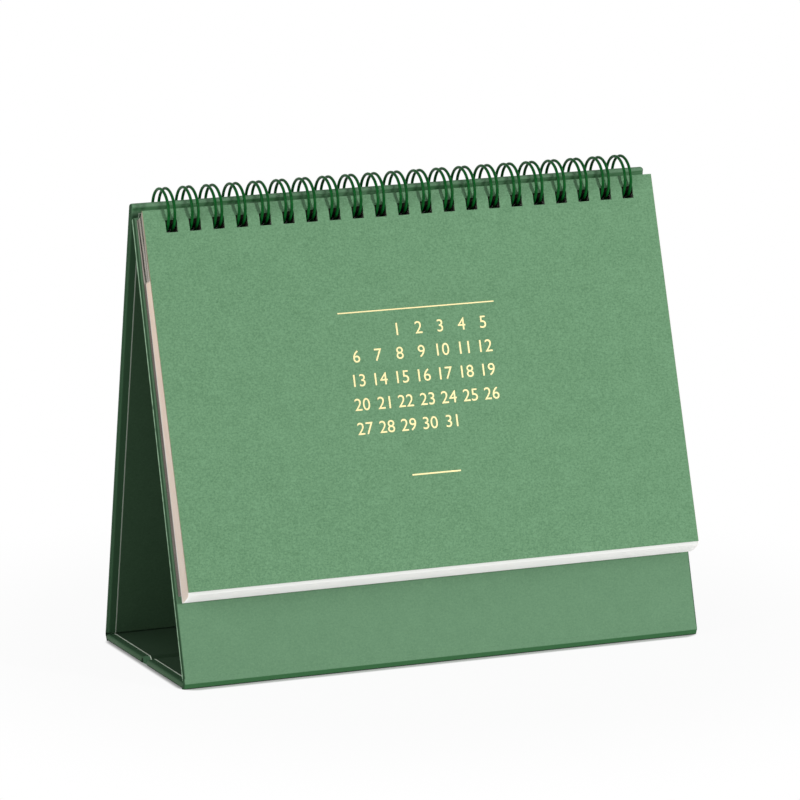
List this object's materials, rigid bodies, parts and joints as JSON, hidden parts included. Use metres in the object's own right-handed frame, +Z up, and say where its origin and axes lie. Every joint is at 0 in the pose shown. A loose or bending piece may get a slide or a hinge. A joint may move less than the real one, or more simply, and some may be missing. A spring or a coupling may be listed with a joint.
{
  "type": "desk calendar",
  "caption": "Free-standing desk calendar: punched leaves on a twin-loop wire along the top of a folding case-board stand; the cover and leaves turn up over the ring.",
  "frame": {"origin": "bottom centre of the whole box, on the surface it stands on", "axes": "+X along the width, to the right seen from the front; +Y from the front to the back; +Z up"},
  "size_m": [0.1912, 0.0768, 0.1626],
  "materials": {
    "greyboard": "matte",
    "green_wrap": "matte",
    "green_lining": "matte",
    "green_wire": "gloss",
    "cover_card": "matte",
    "leaf_paper": "matte"
  },
  "bodies": {
    "stand_front": {"front_board": "greyboard", "front_wrap": "green_wrap", "front_lining": "green_lining", "binding_wire": "green_wire"},
    "stand_back": {"back_board": "greyboard", "back_wrap": "green_wrap", "back_lining": "green_lining"},
    "base_front": {"base_front_board": "greyboard", "base_front_wrap": "green_wrap", "base_front_lining": "green_lining", "front_hinge_strip": "green_wrap", "base_crease_strip": "green_wrap"},
    "base_rear": {"base_rear_board": "greyboard", "base_rear_wrap": "green_wrap", "base_rear_lining": "green_lining", "back_hinge_strip": "green_wrap"},
    "cover": {"cover_sheet": "cover_card"},
    "leaf_01": {"leaf_01": "leaf_paper"},
    "leaf_02": {"leaf_02": "leaf_paper"},
    "leaf_03": {"leaf_03": "leaf_paper"},
    "leaf_04": {"leaf_04": "leaf_paper"},
    "leaf_05": {"leaf_05": "leaf_paper"},
    "leaf_06": {"leaf_06": "leaf_paper"},
    "leaf_07": {"leaf_07": "leaf_paper"},
    "leaf_08": {"leaf_08": "leaf_paper"},
    "leaf_09": {"leaf_09": "leaf_paper"},
    "leaf_10": {"leaf_10": "leaf_paper"},
    "leaf_11": {"leaf_11": "leaf_paper"},
    "leaf_12": {"leaf_12": "leaf_paper"},
    "leaf_13": {"leaf_13": "leaf_paper"}
  },
  "joints": [
    {"name": "base_front_fold", "type": "hinge", "parent": "stand_front", "child": "base_front", "pos_m": [0, -0.03428, 0.0022], "axis": [1, 0, 0], "range_deg": [0, 40], "deforming": ["base_crease_strip"]},
    {"name": "back_panel_fold", "type": "hinge", "parent": "stand_front", "child": "stand_back", "pos_m": [0, 0.00738, 0.1545], "axis": [-1, 0, 0], "range_deg": [0, 6.2]},
    {"name": "base_rear_fold", "type": "hinge", "parent": "stand_back", "child": "base_rear", "pos_m": [0, 0.03617, 0.0022], "axis": [-1, 0, 0], "range_deg": [0, 40.5]},
    {"name": "cover_flip", "type": "hinge", "parent": "stand_front", "child": "cover", "pos_m": [0, 0.00738, 0.1545], "axis": [-1, 0, 0], "range_deg": [0, 165]},
    {"name": "leaf_01_flip", "type": "hinge", "parent": "stand_front", "child": "leaf_01", "pos_m": [0, 0.00738, 0.1545], "axis": [-1, 0, 0], "range_deg": [0, 132.5]},
    {"name": "leaf_02_flip", "type": "hinge", "parent": "stand_front", "child": "leaf_02", "pos_m": [0, 0.00738, 0.1545], "axis": [-1, 0, 0], "range_deg": [0, 125.9]},
    {"name": "leaf_03_flip", "type": "hinge", "parent": "stand_front", "child": "leaf_03", "pos_m": [0, 0.00738, 0.1545], "axis": [-1, 0, 0], "range_deg": [0, 119.3]},
    {"name": "leaf_04_flip", "type": "hinge", "parent": "stand_front", "child": "leaf_04", "pos_m": [0, 0.00738, 0.1545], "axis": [-1, 0, 0], "range_deg": [0, 112.7]},
    {"name": "leaf_05_flip", "type": "hinge", "parent": "stand_front", "child": "leaf_05", "pos_m": [0, 0.00738, 0.1545], "axis": [-1, 0, 0], "range_deg": [0, 106.1]},
    {"name": "leaf_06_flip", "type": "hinge", "parent": "stand_front", "child": "leaf_06", "pos_m": [0, 0.00738, 0.1545], "axis": [-1, 0, 0], "range_deg": [0, 99.5]},
    {"name": "leaf_07_flip", "type": "hinge", "parent": "stand_front", "child": "leaf_07", "pos_m": [0, 0.00738, 0.1545], "axis": [-1, 0, 0], "range_deg": [0, 92.9]},
    {"name": "leaf_08_flip", "type": "hinge", "parent": "stand_front", "child": "leaf_08", "pos_m": [0, 0.00738, 0.1545], "axis": [-1, 0, 0], "range_deg": [0, 86.3]},
    {"name": "leaf_09_flip", "type": "hinge", "parent": "stand_front", "child": "leaf_09", "pos_m": [0, 0.00738, 0.1545], "axis": [-1, 0, 0], "range_deg": [0, 79.7]},
    {"name": "leaf_10_flip", "type": "hinge", "parent": "stand_front", "child": "leaf_10", "pos_m": [0, 0.00738, 0.1545], "axis": [-1, 0, 0], "range_deg": [0, 73.1]},
    {"name": "leaf_11_flip", "type": "hinge", "parent": "stand_front", "child": "leaf_11", "pos_m": [0, 0.00738, 0.1545], "axis": [-1, 0, 0], "range_deg": [0, 66.5]},
    {"name": "leaf_12_flip", "type": "hinge", "parent": "stand_front", "child": "leaf_12", "pos_m": [0, 0.00738, 0.1545], "axis": [-1, 0, 0], "range_deg": [0, 59.9]},
    {"name": "leaf_13_flip", "type": "hinge", "parent": "stand_front", "child": "leaf_13", "pos_m": [0, 0.00738, 0.1545], "axis": [-1, 0, 0], "range_deg": [0, 53.3]}
  ],
  "couplings": [
    {"joint": "back_panel_fold", "follows": "base_front_fold", "ratio": 0.1525},
    {"joint": "base_rear_fold", "follows": "base_front_fold", "ratio": 1},
    {"joint": "leaf_01_flip", "follows": "cover_flip", "ratio": 0.8},
    {"joint": "leaf_02_flip", "follows": "cover_flip", "ratio": 0.76},
    {"joint": "leaf_03_flip", "follows": "cover_flip", "ratio": 0.72},
    {"joint": "leaf_04_flip", "follows": "cover_flip", "ratio": 0.68},
    {"joint": "leaf_05_flip", "follows": "cover_flip", "ratio": 0.64},
    {"joint": "leaf_06_flip", "follows": "cover_flip", "ratio": 0.6},
    {"joint": "leaf_07_flip", "follows": "cover_flip", "ratio": 0.56},
    {"joint": "leaf_08_flip", "follows": "cover_flip", "ratio": 0.52},
    {"joint": "leaf_09_flip", "follows": "cover_flip", "ratio": 0.48},
    {"joint": "leaf_10_flip", "follows": "cover_flip", "ratio": 0.44},
    {"joint": "leaf_11_flip", "follows": "cover_flip", "ratio": 0.4},
    {"joint": "leaf_12_flip", "follows": "cover_flip", "ratio": 0.36},
    {"joint": "leaf_13_flip", "follows": "cover_flip", "ratio": 0.32}
  ]
}
